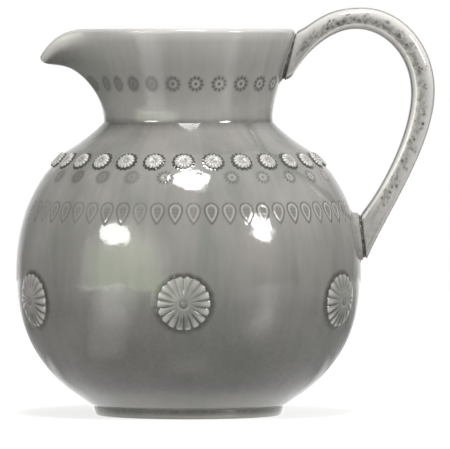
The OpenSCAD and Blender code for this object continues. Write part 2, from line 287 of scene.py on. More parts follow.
def stoneware_glaze(name, warm, cool, pooled, pale, mottle):
    """Feldspar glaze fired glossy over grey stoneware. To the eye it is a mirror-smooth skin over a
    cloudy grey, dark where it lies thick in hollows and cream where it runs thin off edges. Its pool
    share also carries painted shade, and its thin share painted light, where a piece puts them. The clouds
    are about 24 mm across and drawn out downwards, as the glaze ran, with streaks about 2 mm wide in them.
    Mottling about 2 mm across breaks up the dark of the hollows, and a faint swell, about 9 mm from crest
    to crest, bends what it reflects. A Mix node's input 0 is the share, 2 and 3 are its numbers, and 6 and 7
    its colours."""
    material = bpy.data.materials.new(name)
    material.use_nodes = True
    tree = material.node_tree
    tree.nodes.clear()
    place = add(tree, "ShaderNodeTexCoord", {}, {}).outputs["Object"]
    pool = add(tree, "ShaderNodeAttribute", {"attribute_name": "pool"}, {}).outputs["Fac"]
    thin = add(tree, "ShaderNodeAttribute", {"attribute_name": "thin"}, {}).outputs["Fac"]
    run = add(tree, "ShaderNodeMapping", {}, {"Vector": place, "Scale": (1.0, 1.0, 0.4)}).outputs["Vector"]
    clouds = add(tree, "ShaderNodeTexNoise", {}, {
        "Vector": run, "Scale": 1 / (24 * MM), "Detail": 4.0, "Roughness": 0.55}).outputs["Fac"]
    spots = add(tree, "ShaderNodeTexNoise", {}, {
        "Vector": place, "Scale": 1 / (2 * MM), "Detail": 2.0, "Roughness": 0.5}).outputs["Fac"]
    level = add(tree, "ShaderNodeVectorMath", {"operation": "MULTIPLY"}, {
        0: place, 1: (1, 1, 0)}).outputs["Vector"]
    bearing = add(tree, "ShaderNodeVectorMath", {"operation": "NORMALIZE"}, {0: level}).outputs["Vector"]
    fall = add(tree, "ShaderNodeVectorMath", {"operation": "MULTIPLY"}, {
        0: place, 1: (0, 0, 0.06)}).outputs["Vector"]
    trickle = add(tree, "ShaderNodeVectorMath", {"operation": "MULTIPLY_ADD"}, {
        0: bearing, 1: (neck_r * MM, neck_r * MM, 0), 2: fall}).outputs["Vector"]
    streaks = add(tree, "ShaderNodeTexNoise", {}, {
        "Vector": trickle, "Scale": 1 / (2 * MM), "Detail": 2.0, "Roughness": 0.5}).outputs["Fac"]
    both = add(tree, "ShaderNodeMix", {}, {0: 0.2, 2: clouds, 3: streaks}).outputs[0]
    cloud_share = add(tree, "ShaderNodeMapRange", {}, {
        "Value": both, "From Min": 0.38, "From Max": 0.62}).outputs["Result"]
    spot_share = add(tree, "ShaderNodeMapRange", {}, {
        "Value": spots, "From Min": 0.35, "From Max": 0.65,
        "To Min": 1 - mottle, "To Max": 1 + mottle}).outputs["Result"]
    depth = add(tree, "ShaderNodeMath", {"operation": "MULTIPLY", "use_clamp": True}, {
        0: pool, 1: spot_share}).outputs[0]
    grey = add(tree, "ShaderNodeMix", {"data_type": "RGBA"}, {
        0: cloud_share, 6: linear(warm), 7: linear(cool)}).outputs[2]
    edged = add(tree, "ShaderNodeMix", {"data_type": "RGBA"}, {
        0: thin, 6: grey, 7: linear(pale)}).outputs[2]
    colour = add(tree, "ShaderNodeMix", {"data_type": "RGBA"}, {
        0: depth, 6: edged, 7: linear(pooled)}).outputs[2]
    swell = add(tree, "ShaderNodeTexNoise", {}, {
        "Vector": place, "Scale": 1 / (9 * MM), "Detail": 2.0, "Roughness": 0.4}).outputs["Fac"]
    normal = add(tree, "ShaderNodeBump", {}, {
        "Strength": 0.45, "Distance": 0.5 * MM, "Height": swell}).outputs["Normal"]
    gloss = add(tree, "ShaderNodeMapRange", {}, {
        "Value": spots, "From Min": 0.3, "From Max": 0.7, "To Min": 0.05, "To Max": 0.12}).outputs["Result"]
    shader = add(tree, "ShaderNodeBsdfPrincipled", {}, {
        "Base Color": colour, "Roughness": gloss, "IOR": 1.6, "Normal": normal}).outputs["BSDF"]
    add(tree, "ShaderNodeOutputMaterial", {}, {"Surface": shader})
    return material


def place_piece(name, mesh, material, slot, *nodes):
    """Puts a finished mesh into the scene for the nodes that it stands for, riding with the jug."""
    mesh.materials.append(material)
    piece = bpy.data.objects.new(name, mesh)
    bpy.context.scene.collection.objects.link(piece)
    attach(piece, "root")
    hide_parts(*nodes)


def run_and_low_shade(z):
    """How dark the glaze is painted low on the pot, partly as glaze that ran down and lies thick and partly
    as
    painted shade: more and more below the middle of the belly, to where it is wiped off by the foot."""
    return 0.58 * rise(-z, -86, -20) * (1 - rise(-z, -18, -6))


# Points in a plain ring, in one with relief, and in one of the inside
COARSE, FINE, INSIDE = 360, 1440, 180
drop_s, row_s = wall_place(drop_z), wall_place(row_z)
drop_reach, row_reach = 6.0, 4.2
rows, fine_rows = graded(0, outline_s[-1], coarse=2.5, fine=0.48, bands=[
    (drop_s - drop_reach, drop_s + drop_reach), (row_s - row_reach, row_s + row_reach)])
# A row close to the seam, and one round it on top, keep that edge crisp
CLOSE = 0.06
rows = np.insert(rows, -1, rows[-1] - CLOSE)
fine_rows = np.append(fine_rows, False)
rings, pools, thins = [np.array([[0, 0, outline[0, 1]]])], [0.2], [0.3]
for s, fine in zip(rows, fine_rows):
    azimuth = directions(FINE if fine else COARSE)
    height, pool, thin = belly_relief(azimuth, np.full(len(azimuth), s)) if fine else (0, 0, 0)
    z = np.interp(s, outline_s, outline[:, 1])
    rings.append(on_wall(azimuth, s, height))
    # Glaze gathers towards the seam and thins by the foot. Painted shade darkens the crease under the seam,
    # more so on the lip's side.
    crease_shade = 0.12 * rise(z, drop_z + 14, seam_z - 6) + 0.38 * rise(z, seam_z - 3, seam_z - 0.3)
    crease_shade = crease_shade + 0.16 * rise(-np.cos(azimuth), 0, 0.5) * rise(z, seam_z - 8, seam_z - 4)
    pools.append(np.maximum(pool, run_and_low_shade(z)) + crease_shade)
    # Painted light lifts the shade on the belly's last millimetres by the foot, on top of glaze that runs
    # thin there
    thins.append(thin + 0.42 * rise(-z, -16, -5) + 0.15 * rise(-z, -8, -5) + 0.25 * rise(-z, -6, -4.5))
# The inside lies a wall's thickness in from the outline. A few points by the seam are left out, because the
# wall ends level there.
CUT, INSIDE_STEP, INSIDE_EASE, INSIDE_SKIP = 4, 0.5, 1.6, 8
inside = (outline - wall * outline_normal)[CUT:-CUT]
inside = inside[inside[:, 1] > underside_z + floor_t][::-1]
inside = np.concatenate([[[neck_r - wall, seam_z]], inside, [[0, underside_z + floor_t]]])
inside = np.concatenate([[[neck_r - CLOSE, seam_z]], eased(inside, INSIDE_STEP, INSIDE_EASE)[::INSIDE_SKIP]])
for r, z in inside[:-1]:
    rings.append(turned(r, z, directions(INSIDE)))
    pools.append(0.1)
    thins.append(0)
rings.append(np.array([[0, 0, underside_z + floor_t]]))
pools.append(0.3)
thins.append(0)
grey_glaze = stoneware_glaze("glossy_grey_stoneware_glaze", warm="#8a8783", cool="#767772",
                             pooled="#3a3935", pale="#d2d0ca", mottle=0.08)
place_piece("glazed_belly", skin("glazed_belly", rings, pools, thins), grey_glaze, "grey_glaze", "body")

# NECK AND POURING LIP. A collar thrown apart and joined to the shoulder with slip, flared to a
# rounded rim and pulled out into a lip on the side away from the handle. A ring of small flowers
# is stamped round it, and the glaze breaks pale along the rim.
rim_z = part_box("neck_spout")[1].z / MM
rim_r, rim_t = 48.9, 3.4
lip_r, lip_drop = rim_r + 19.2, 12.0
lip_half_angle, lip_point, lip_roll = np.radians(50), 4.0, 2.8
rim_end_z = rim_z - rim_t / 2
# Radius and height of the points that steer the wall's line, from the seam to the rim
plain_throat, lip_tuck = [-1.5, 3.2], 0.3
plain_profile = np.array([
    seam, seam + plain_throat,
    [neck_r + 0.13 * (rim_r - neck_r), seam_z + 0.42 * (rim_end_z - seam_z)],
    [neck_r + 0.66 * (rim_r - neck_r), seam_z + 0.64 * (rim_end_z - seam_z)],
    [rim_r, rim_end_z]])
lip_profile = np.array([
    seam, seam + throat - [lip_tuck, 0],
    [neck_r + 0.17 * (lip_r - neck_r), rim_end_z - 0.3 * lip_drop],
    [neck_r + 0.88 * (lip_r - neck_r), rim_end_z - 1.62 * lip_drop],
    [lip_r, rim_end_z - lip_drop]])


def lip_share(azimuth):
    """How far the neck is pulled out into the lip at an azimuth, from 0 to 1: a raised cosine to a power."""
    turn = np.minimum(np.abs(azimuth % (2 * np.pi) - np.pi) / lip_half_angle, 1)
    return ((1 + np.cos(np.pi * turn)) / 2) ** lip_point


def neck_point(azimuth, t):
    """The neck's outer wall, a share t of the way from seam to rim: a curve of five control points at
    each azimuth, mixed from the plain profile to the lip's by the lip's share."""
    out = lip_share(azimuth)
    down = out ** lip_roll
    points = [np.stack([plain[0] + (lip[0] - plain[0]) * out, plain[1] + (lip[1] - plain[1]) * down])
              for plain, lip in zip(plain_profile, lip_profile)]
    r, z = bezier(points, t)
    return turned(r, z, azimuth)


def unit(vectors):
    """Vectors of the same direction and length one."""
    return vectors / np.linalg.norm(vectors, axis=-1, keepdims=True)


def neck_frame(azimuth, t):
    """Directions up the neck's wall and out of it, from points a nudge apart."""
    nudge = 0.002
    up = unit(neck_point(azimuth, t) - neck_point(azimuth, t - nudge))
    across = unit(neck_point(azimuth + nudge, t) - neck_point(azimuth - nudge, t))
    return up, unit(np.cross(across, up))


def neck_inner_point(azimuth, t):
    """The neck's inner wall: inward from the outer one by a thickness that thins towards the rim, and
    level at the seam, where the neck sits flat on the shoulder."""
    level_share = 0.25
    out = neck_frame(azimuth, t)[1]
    out[:, 2] *= min(1, t / level_share)
    return neck_point(azimuth, t) - (wall + (rim_t - wall) * t) * unit(out)


neck_flowers, first_neck_flower, neck_flower_z = 25, np.radians(-76.6), 152.6
NECK_COARSE, NECK_FINE, RIM_ROWS, INNER_ROWS = 480, 1440, 13, 26
rings, pools, thins = [], [], []
rows, fine_rows = graded(0, 1, coarse=0.035, fine=0.0095, bands=[(0.36, 0.67)])
# A row close to the seam keeps that edge crisp here too
CLOSE_SHARE = 0.0015
rows, fine_rows = np.insert(rows, 1, CLOSE_SHARE), np.insert(fine_rows, 1, False)
for t, fine in zip(rows, fine_rows):
    azimuth = directions(NECK_FINE if fine else NECK_COARSE)
    points = neck_point(azimuth, t)
    # The flowers are spaced closer together towards the lip
    turn, number = nearest(azimuth - 0.15 * np.sin(azimuth), neck_flowers, first_neck_flower)
    press = 0.72 + 0.28 * np.cos(number * 2 * np.pi / neck_flowers - np.radians(40))
    height, pool, thin = (part * press for part in stamped_flower(
        turn * np.hypot(points[:, 0], points[:, 1]), points[:, 2] - neck_flower_z, 1.3 * number,
        pits=10, pit_at=2.7, pit_long=0.9, pit_wide=0.62, ring_at=1.35, bed_dark=0.42,
        filled=rise(-np.cos(azimuth), -0.05, 0.45)))
    rings.append(points + height[:, None] * neck_frame(azimuth, t)[1])
    # Painted shade darkens a crease just above the seam, and the neck under the lip
    crease_shade = 0.5 * bump(points[:, 2] - seam_z - 0.4, 1.4)
    under_lip_shade = 0.8 * lip_share(azimuth) * rise(t, 0.62, 0.8) * (1 - rise(t, 0.88, 0.95))
    pools.append(np.maximum(pool, crease_shade) + under_lip_shade)
    by_rim = 0.22 * rise(t, 0.66, 0.98) + 0.25 * rise(t, 0.92, 1)
    by_rim = by_rim + 0.4 * np.sqrt(lip_share(azimuth)) * rise(t, 0.86, 0.95)
    # Painted light: the neck is paler towards the handle's side at the flowers, on bands either side of the
    # lip, and on a band low down
    handle_side_light = 0.09 * bump(points[:, 2] - neck_flower_z, 10) * rise(np.cos(azimuth), -0.4, 0.4)
    lip_side_light = 0.13 * bump(np.cos(azimuth) + 0.7, 0.25) * rise(t, 0.2, 0.45)
    thins.append(thin + 0.05 + by_rim + handle_side_light + lip_side_light + 0.12 * bump(points[:, 2] - seam_z - 6, 6))
azimuth = directions(NECK_COARSE)
outer, inner = neck_point(azimuth, 1), neck_inner_point(azimuth, 1)
up = neck_frame(azimuth, 1)[0]
for turn in np.linspace(0, np.pi, RIM_ROWS)[1:-1]:
    rings.append((outer + inner) / 2 + np.cos(turn) * (outer - inner) / 2 + np.sin(turn) * rim_t / 2 * up)
    pools.append(0)
    thins.append(0.55)
# Inside, the wall is painted darker further down, as shade
for t in np.linspace(1, 0, INNER_ROWS):
    rings.append(neck_inner_point(azimuth, t))
    pools.append(0.15 * (1 - t))
    thins.append(0.6 * rise(t, 0.96, 1))
base = neck_point(azimuth, 0)
rings.append(base + (rings[-1] - base) * CLOSE / wall)
pools.append(0)
thins.append(0)
place_piece("glazed_neck_and_lip", skin("glazed_neck_and_lip", rings, pools, thins, looped=True),
            grey_glaze, "grey_glaze", "neck_spout")

# FOOT RING. A ring turned on the underside of the belly, where the jug stands. Glaze pools dark in
# the corner under the belly, where painted shade darkens it too, and the lower edge is wiped back to the buff
# stoneware.
foot_flare, foot_w, foot_edge, foot_swell = 1.2, 5.5, 0.6, 0.5
meet_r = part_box("foot_ring")[1].x / MM + foot_swell
foot_r = meet_r - foot_flare
foot_inner_r = foot_r - foot_w
low_wall = outline[outline[:, 1] < widest_z]
meet_z, inner_z = (np.interp(r, low_wall[:, 0], low_wall[:, 1]) for r in (meet_r, foot_inner_r))
# The ring's top is sunk into the underside
sink = 0.4
FOOT_STEP, FOOT_EASE = 0.25, 0.3
section = eased(np.array([
    [foot_r - foot_w / 2, 0], [foot_r - foot_edge, 0], [foot_r, foot_edge],
    [meet_r, meet_z + sink], [meet_r - 2, meet_z + sink],
    [foot_inner_r + 1, inner_z + sink], [foot_inner_r, inner_z],
    [foot_inner_r, foot_edge], [foot_inner_r + foot_edge, 0], [foot_r - foot_w / 2, 0]]),
    FOOT_STEP, FOOT_EASE)[:-1]
rings = [turned(r, z, directions(COARSE)) for r, z in section]
# Pooled glaze and painted shade darken the ring's top under the belly
pools = [0.72 * rise(z, 1.6, 3.3) for _, z in section]
thins = [0.85 * (1 - rise(z, 0.4, 2.2)) for _, z in section]
foot_glaze = stoneware_glaze("wiped_stoneware_foot", warm="#8a8783", cool="#767772",
                             pooled="#3a3935", pale="#bab8ab", mottle=0.2)
place_piece("turned_foot_ring", skin("turned_foot_ring", rings, pools, thins, looped=True), foot_glaze,
            "foot_glaze", "foot_ring")

# HANDLE. A strap of clay bent to a loop and luted to neck and belly, with a row of dotted flowers
# stamped down each flank and a bead along its inner edge. The glaze is thin and pale on it, and
# lies dark in the dots and along the two seams.
handle_high = np.array(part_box("handle")[1]) / MM
# The strap's outer and inner edges in the jug's middle plane: where each is highest, and farthest out
outer_top, inner_top = np.array([[rim_r + 30.8, handle_high[2]], [rim_r + 28, handle_high[2] - 10]])
outer_side, inner_side = np.array([[handle_high[0], rim_z - 28.1], [handle_high[0] - 11, rim_z - 29.2]])
handle_w, root_w, strap_power = 15.0, 19.0, 0.72
neck_line = bezier(plain_profile, np.linspace(0, 1, CURVE_POINTS)[:, None])


def neck_radius(z):
    """Radius of the neck's plain side at a height."""
    return np.interp(z, neck_line[:, 1], neck_line[:, 0])


def belly_radius(z):
    """Radius of the belly at a height."""
    return np.interp(z, outline[:, 1], outline[:, 0])


def handle_edge(share, top, side, ends, pulls):
    """One edge of the strap in the jug's middle plane, at a share from 0 to 3 of the way down it: three
    cubic curves end to end, up from the neck, round a quarter ellipse and down to the belly. A cubic keeps
    to a quarter ellipse if its pulls are 0.5523 of the half axes."""
    quarter = 0.5523
    curves = np.array([
        [ends[0], ends[0] + pulls[0], top - pulls[1], top],
        [top, [top[0] + quarter * (side[0] - top[0]), top[1]],
         [side[0], side[1] + quarter * (top[1] - side[1])], side],
        [side, side - pulls[2], ends[1] + pulls[3], ends[1]]])
    part = np.minimum(share.astype(int), 2)
    return bezier(np.moveaxis(curves[part], 1, 0), (share - part)[:, None])


upper_root_top, lower_root_foot = rim_z - 2.4, widest_z + 5.5
upper_root_h, lower_root_h = 22.5, 22.0
outer_ends = np.array([[rim_r + 1.1, upper_root_top + 1.8], [belly_r + 2.6, lower_root_foot + 1.2]])
inner_ends = np.array([[neck_r + 6.4, upper_root_top - upper_root_h - 0.2],
                       [belly_r + 0.2, lower_root_foot + lower_root_h + 0.9]])
outer_pulls = np.array([[7.45, 2.95], [17.9, 0], [0, 25.5], [9.7, 22.7]])
inner_pulls = np.array([[3.9, 9.1], [14.4, 0], [0, 18.5], [9.2, 11]])
EDGE_POINTS, SECTION_POINTS = 3001, 4001
share = np.linspace(0, 3, EDGE_POINTS)
outer_line = handle_edge(share, outer_top, outer_side, outer_ends, outer_pulls)
inner_line = handle_edge(share, inner_top, inner_side, inner_ends, inner_pulls)
length = np.append(0, np.cumsum(np.hypot(*np.diff((outer_line + inner_line) / 2, axis=0).T)))
STRAP_STEP, STRAP_SIDES = 0.38, 120
strap_s = np.linspace(0, length[-1], int(length[-1] / STRAP_STEP))
outer_line, inner_line = (np.stack([np.interp(strap_s, length, line[:, k]) for k in (0, 1)], axis=1)
                          for line in (outer_line, inner_line))
share = np.interp(strap_s, length, share)
# The upper root's lower tip is cut off blunt, and the strap swells a little towards it
blunt, fuller = bump(strap_s, 2.0)[:, None] * [-2.1, 1.0], np.exp(-strap_s / 9.0)[:, None] * [0.8, 0.0]
inner_line += blunt + fuller
root_share = 0.7
from_root = np.minimum(1, np.minimum(share, 3 - share) / root_share)
width = root_w + (handle_w - root_w) * np.sin(np.pi / 2 * from_root)
# Corners of the strap's section are a superellipse's, with its points at even steps round it
usual_half_t = 5.2
turn = np.linspace(0, 2 * np.pi, SECTION_POINTS)
across, side = (np.sign(f) * np.abs(f) ** strap_power for f in (np.cos(turn), -np.sin(turn)))
girth = np.append(0, np.cumsum(np.hypot(np.diff(across) * usual_half_t, np.diff(side) * handle_w / 2)))
even = np.arange(STRAP_SIDES) * girth[-1] / STRAP_SIDES
across, side = np.interp(even, girth, across), np.interp(even, girth, side)
middle, reach = (outer_line + inner_line) / 2, (outer_line - inner_line) / 2
half_t = np.hypot(*reach.T)[:, None]
flank = rise(np.abs(side), 0.75, 0.95)[None]
# The stamped flowers follow the flank, a little inward of its middle, one each 9 mm. Each has two rings of
# dots, pressed unevenly, so that their places, sizes and depths are drawn from a fixed seed.
flower_pitch, first_flower, last_flower, flower_in = 9.0, 12.5, length[-1] - 12.0, 0.8
chance = np.random.default_rng(5)
flowers = np.arange(first_flower, last_flower, flower_pitch)[:, None]
outer_dots, inner_dots = 16, 9
outer_dots_r, inner_dots_r = 2.6, 1.1
dot_turn = np.append(np.arange(outer_dots) / outer_dots, np.arange(inner_dots) / inner_dots) * 2 * np.pi
dot_away = np.append(np.full(outer_dots, outer_dots_r), np.full(inner_dots, inner_dots_r))
uneven = (len(flowers), outer_dots + inner_dots)
dot_turn = dot_turn + chance.normal(0, 0.5, uneven)
dot_away = dot_away + chance.normal(0, 0.7, uneven)
dot_s = (flowers + dot_away * np.cos(dot_turn)).ravel()
dot_up = (dot_away * np.sin(dot_turn) - flower_in).ravel()
dot_size, dot_depth = chance.uniform(0.45, 0.85, dot_s.size), chance.uniform(0.3, 0.95, dot_s.size)
pool = np.max([depth * np.exp(-((strap_s[:, None] - s) ** 2 + (across * half_t - up) ** 2) / size ** 2)
               for s, up, size, depth in zip(dot_s, dot_up, dot_size, dot_depth)], axis=0) * flank
DENT, BEAD = 0.06, 0.25
from_inner, from_outer = half_t * (1 + across), half_t * (1 - across)
bead = bump(from_inner - 2.1, 0.7) * rise(np.abs(side), 0.55, 0.8)[None]
proud = -DENT * pool + BEAD * bead
strap = np.stack([
    middle[:, :1] + across * reach[:, :1],
    side * width[:, None] / 2 + np.sign(side) * proud,
    middle[:, 1:] + across * reach[:, 1:]], axis=-1)
# Both ends are rounded over and drawn in a little, their lower tips the most
ROUNDED, DRAWN_IN, HEART_UP = 2.0, 0.05, 0.45
ends_away = np.minimum(strap_s, length[-1] - strap_s)[:, None]
inset = 1 - np.sqrt(1 - np.clip(1 - ends_away / ROUNDED, 0, 1) ** 2)
upper_edge = np.where((strap_s < length[-1] / 2)[:, None], outer_line, inner_line)
heart = middle + HEART_UP * (upper_edge - middle)
heart = np.stack([heart[:, 0], np.zeros(len(heart)), heart[:, 1]], axis=1)[:, None]
strap += (heart - strap) * DRAWN_IN * inset[..., None]
# Glaze smudges the row of flowers, most over the top, and painted shade lies dark by the neck and a little by
# the belly
smudge = 0.28 + 0.22 * bump(share - 1.7, 0.5) + 0.4 * bump(share - 0.85, 0.45)
smudge = smudge[:, None] * bump(across * half_t + 1.2, 2.3)
neck_root_shade = 0.62 * bump(strap_s[:, None] - 7.5, 6) * bump(across * half_t + 0.5, 4)
pool = np.maximum(pool, np.maximum(smudge, neck_root_shade) * flank) * rise(ends_away, 0, 4)
pool = np.maximum(pool, 0.22 * flank * rise(strap_s - length[-1], -26, -6)[:, None])
# It is thinnest along the bead and the outer corner, and the strap's inner and outer faces are painted dark
# as shade, the inner one more
face = 1 - rise(np.abs(side), 0.52, 0.74)[None]
pool = np.maximum(pool * (1 - 0.85 * bead), (0.42 + 0.15 * (across < 0)) * face)
over_top = bump(share - 1, 0.75)[:, None]
corner = (0.42 - 0.1 * over_top) * bump(from_outer - 0.9, 1.3 + 2.4 * over_top)
thin = (0.28 + 0.75 * bead + 0.3 * bump(from_inner - 1.3, 0.7) + corner) * (1 - 0.9 * face)


def root_ring(points, radius, spread, lift):
    """A ring round one of the strap's roots: the strap's end ring, spread out from its middle and laid
    on the wall, which is round about the jug's axis."""
    middle = points.mean(axis=0)
    away = points - middle
    size = np.hypot(away[:, 1], away[:, 2])[:, None]
    points = middle + away * (1 + spread / size)
    points[:, 2] = np.minimum(points[:, 2], rim_end_z)
    r = radius(points[:, 2]) + lift
    return np.stack([np.sqrt(r * r - points[:, 1] ** 2), points[:, 1], points[:, 2]], axis=1)


# Each root from the wall out. SLIP is the slip smoothed on to the wall, as spread, lift and thin glaze, and
# SEAM the dark seam, as shares of the seam's width before the strap's end, how far it is sunk, pooled and
# thin glaze. Before the slip come a point and a ring under the wall.
SLIP = ((2.2, 0.02, 0), (1.4, 0.2, 0), (0.8, 0.45, 0.1))
SEAM = ((1.0, -0.1, 0.15, 0.15), (0.9, 0.7, 1, 0), (0.2, 0.7, 0.85, 0))
MIDDLE_UNDER, EDGE_UNDER, SLIP_POOL = -1.5, -0.6, 0.22
NECK_SEAM_W, BELLY_SEAM_W = 2.3, 1.6


def root(end, radius, seam_w):
    """One root from the middle of its back, out under the wall, and up the seam to the strap: its rings, and
    their pooled and thin glaze. No seam takes up more than 0.85 of the gap to the slip."""
    back = [root_ring(end, radius, 0, MIDDLE_UNDER).mean(axis=0, keepdims=True),
            root_ring(end, radius, SLIP[0][0], EDGE_UNDER)]
    slip = [root_ring(end, radius, spread, lift) for spread, lift, _ in SLIP]
    away = end - slip[-1]
    gap = np.linalg.norm(away, axis=1, keepdims=True)
    inward = end.mean(axis=0) - end
    inward /= np.hypot(inward[:, 1], inward[:, 2])[:, None]
    joint = [end - away * np.minimum(part * seam_w / gap, 0.85 * part) + sunk * inward
             for part, sunk, _, _ in SEAM]
    pools = [0, 0] + [SLIP_POOL for _ in SLIP] + [dark for _, _, dark, _ in SEAM]
    thins = [0, 0] + [pale for _, _, pale in SLIP] + [pale for _, _, _, pale in SEAM]
    return back + slip + joint, pools, thins


neck_root = root(strap[0], neck_radius, NECK_SEAM_W)
belly_root = root(strap[-1], belly_radius, BELLY_SEAM_W)
rings, pools, thins = (low + list(strap_part) + high[::-1] for low, strap_part, high in
                       zip(neck_root, (strap, pool, thin), belly_root))
handle_glaze = stoneware_glaze("thin_grey_stoneware_glaze", warm="#8f8c88", cool="#868682",
                               pooled="#3f3c39", pale="#dcd9d4", mottle=0.45)
place_piece("luted_handle", skin("luted_handle", rings, pools, thins), handle_glaze, "handle_glaze", "handle")


# ROSETTES. Six large flowers pressed in a mould and luted round the belly: fluted petals with
# round tips about a small button. Glaze is pale on the petals' tips and dark between them, and
# lies in a dark ring where each one meets the wall.
def flower_shape(turn, petals, tip):
    """How far a petal's side is from its ridge, from 0 to 1 in the valley, at each direction round
    a flower, and the share of the radius where its rounded tip ends."""
    petal = 2 * np.pi / petals
    side = np.abs((turn + petal / 2) % petal - petal / 2) / (petal / 2)
    return side, 1 - tip * (1 - np.sqrt(1 - 0.96 * side ** 2))


def rosette_relief(x, side, radius):
    """Height, pooled glaze and thin glaze of a rosette at a share x of the way to its petals' tips: a low
    dome that rolls off at the edge, cut by valleys that deepen outwards, with a ring groove and a pale collar
    round a button in the middle."""
    roll = np.sqrt(np.clip(1 - (np.clip(x - 0.84, 0, 1) / 0.16) ** 2, 0, 1))
    flute = side ** 2.4 * rise(x, 0.24, 0.62)
    groove, collar = bump((x - 0.125) * radius, 0.045 * radius), bump((x - 0.2) * radius, 0.04 * radius)
    height = 0.5 + (1.95 * (1 - 0.6 * x * x) - 0.3 * groove - 0.4 * flute) * roll
    pool = np.maximum(0.85 * side ** 2.6 * rise(x, 0.3, 0.6), 0.45 * groove)
    thin = (1 - side ** 2) * (0.05 + 0.38 * rise(x, 0.5, 0.95)) * rise(x, 0.25, 0.5) + 0.15 * collar
    return height, pool, thin


RING_POOL, RING_ROWS, CLOSE_BY = 0.9, 7, 0.98
BACK_UNDER, SKIRT_UNDER, RING_UNDER = -1.0, -0.5, -0.03


def flower_mesh(name, azimuth, z, radius, petals, tip, relief, columns, rows, skirt, dark, lobes, drained):
    """A pressed flower on the wall as a skin of rings from the back's middle, out under the wall, and in
    over the glaze ring and the petals to the middle. The petals' edge follows their tips, and the ring's
    outer edge does so as far as its lobes say, from 0 for a circle to 1. The ring darkens inwards between
    the two shares of its width in dark. By the share drained, glaze drowns the upper petals and leaves the
    lower ones bare, and painted shade darkens the lowest."""
    turn = directions(columns * petals)
    side, edge = flower_shape(turn, petals, tip)
    bare = 1 - 0.5 * drained * np.sin(turn)
    drowned = drained * rise(np.sin(turn), -0.2, 0.9)
    lowest = drained * bump((turn + np.pi / 2 + np.pi) % (2 * np.pi) - np.pi, 0.45)
    s0 = wall_place(z)
    wall_r = np.interp(s0, outline_s, outline[:, 0])

    def ring(away, proud):
        """Points round the flower's middle, away from it along the wall and proud of it."""
        return on_wall(azimuth + away * np.cos(turn) / wall_r, s0 + away * np.sin(turn), proud)

    back = [on_wall(np.array([azimuth]), s0, BACK_UNDER), ring(0.5 * radius, BACK_UNDER),
            ring(radius * skirt, SKIRT_UNDER)]
    pools, thins = [0, 0, 0], [0, 0, 0]
    front = []
    foot = relief(np.ones_like(side), side, radius)[0]
    # The last ring lies close by the petals, so that the corner there is crisp
    for k in np.append(np.linspace(0, 1, RING_ROWS + 1)[:-1], CLOSE_BY):
        proud = RING_UNDER + (foot - RING_UNDER) * k ** 1.5
        points = ring(radius * (skirt * edge ** lobes * (1 - k) + edge * k), proud)
        on_belly = run_and_low_shade(points[:, 2])
        front.append(points)
        pools.append(on_belly + (RING_POOL - on_belly) * rise(k, *dark))
        thins.append(0)
    for x in np.sin(np.linspace(np.pi / 2, 0.02, rows)):
        height, pool, thin = relief(x, side, radius)
        height = foot + (height - foot) * (1 - 0.45 * drowned * rise(x, 0.2, 0.6))
        # Painted shade on the lowest petals
        lowest_petal_shade = 0.7 * lowest * rise(x, 0.35, 0.6) * (1 - rise(x, 0.84, 0.94))
        pool = np.maximum(pool * bare * (1 - 0.5 * drowned), lowest_petal_shade)
        lobed = min(1, 2 * x)
        front.append(ring(radius * x * (1 - lobed + lobed * edge), height))
        rim = rise(x, 0.95, 1)
        pools.append(np.maximum(pool, RING_POOL * rim))
        thins.append(thin * bare * (1 - rim))
    height, pool, thin = relief(np.array([0.0]), np.array([0.0]), radius)
    front.append(on_wall(np.array([azimuth]), s0, height))
    pools.append(pool)
    thins.append(thin)
    return skin(name, back + front, pools, thins)


def node_azimuth(node):
    """Direction of a node's middle about the jug's axis."""
    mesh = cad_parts[node].data
    points = np.empty(len(mesh.vertices) * 3)
    mesh.vertices.foreach_get("co", points)
    x, y, _ = points.reshape(-1, 3).mean(axis=0)
    return np.arctan2(y, x)


rosette_r, rosette_z = 12.3, widest_z - 10.5
relief_glaze = stoneware_glaze("pale_relief_stoneware_glaze", warm="#8a8783", cool="#767772",
                               pooled="#3a3935", pale="#d4d2cb", mottle=0.08)
for node in sorted(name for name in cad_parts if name.startswith("belly_rosette_")):
    piece = "glazed_" + node
    mesh = flower_mesh(
        piece, node_azimuth(node), rosette_z, rosette_r, petals=18, tip=0.08, relief=rosette_relief,
        columns=16, rows=34, skirt=1.26, dark=(0.05, 0.9), lobes=0, drained=0.9)
    place_piece(piece, mesh, relief_glaze, "relief_glaze", node)


# DAISIES. Small flowers pressed in a mould and luted close together round the sloping shoulder,
# each with plump petals about a hollow with a dot in it. They stand proud, so the glaze is
# thin and cream on them and lies dark round their edges.
def daisy_relief(x, side, radius):
    """Height, pooled glaze and thin glaze of a daisy: plump petals that roll off at their tips, with narrow
    valleys between them, about a hollow with a dot in it. The hollow is painted dark as shade and the dot
    pale as a highlight."""
    roll = np.sqrt(np.clip(1 - (np.clip(x - 0.6, 0, 1) / 0.4) ** 2, 0, 1))
    flute = side ** 3 * rise(x, 0.35, 0.85)
    eye, dot = bump((x - 0.14) * radius, 0.85), bump(x * radius, 0.45)
    height = 0.1 + (1.2 - 0.45 * eye + 0.35 * dot - 0.25 * flute) * roll
    # Painted shade in the hollow, and a painted highlight on the dot
    pool = np.maximum(0.22 * side ** 4 * rise(x, 0.45, 0.85), 0.38 * eye - 0.38 * dot)
    thin = 0.27 + 0.25 * (1 - side ** 2) * rise(x, 0.35, 0.8) + 0.3 * dot
    return height, pool, thin


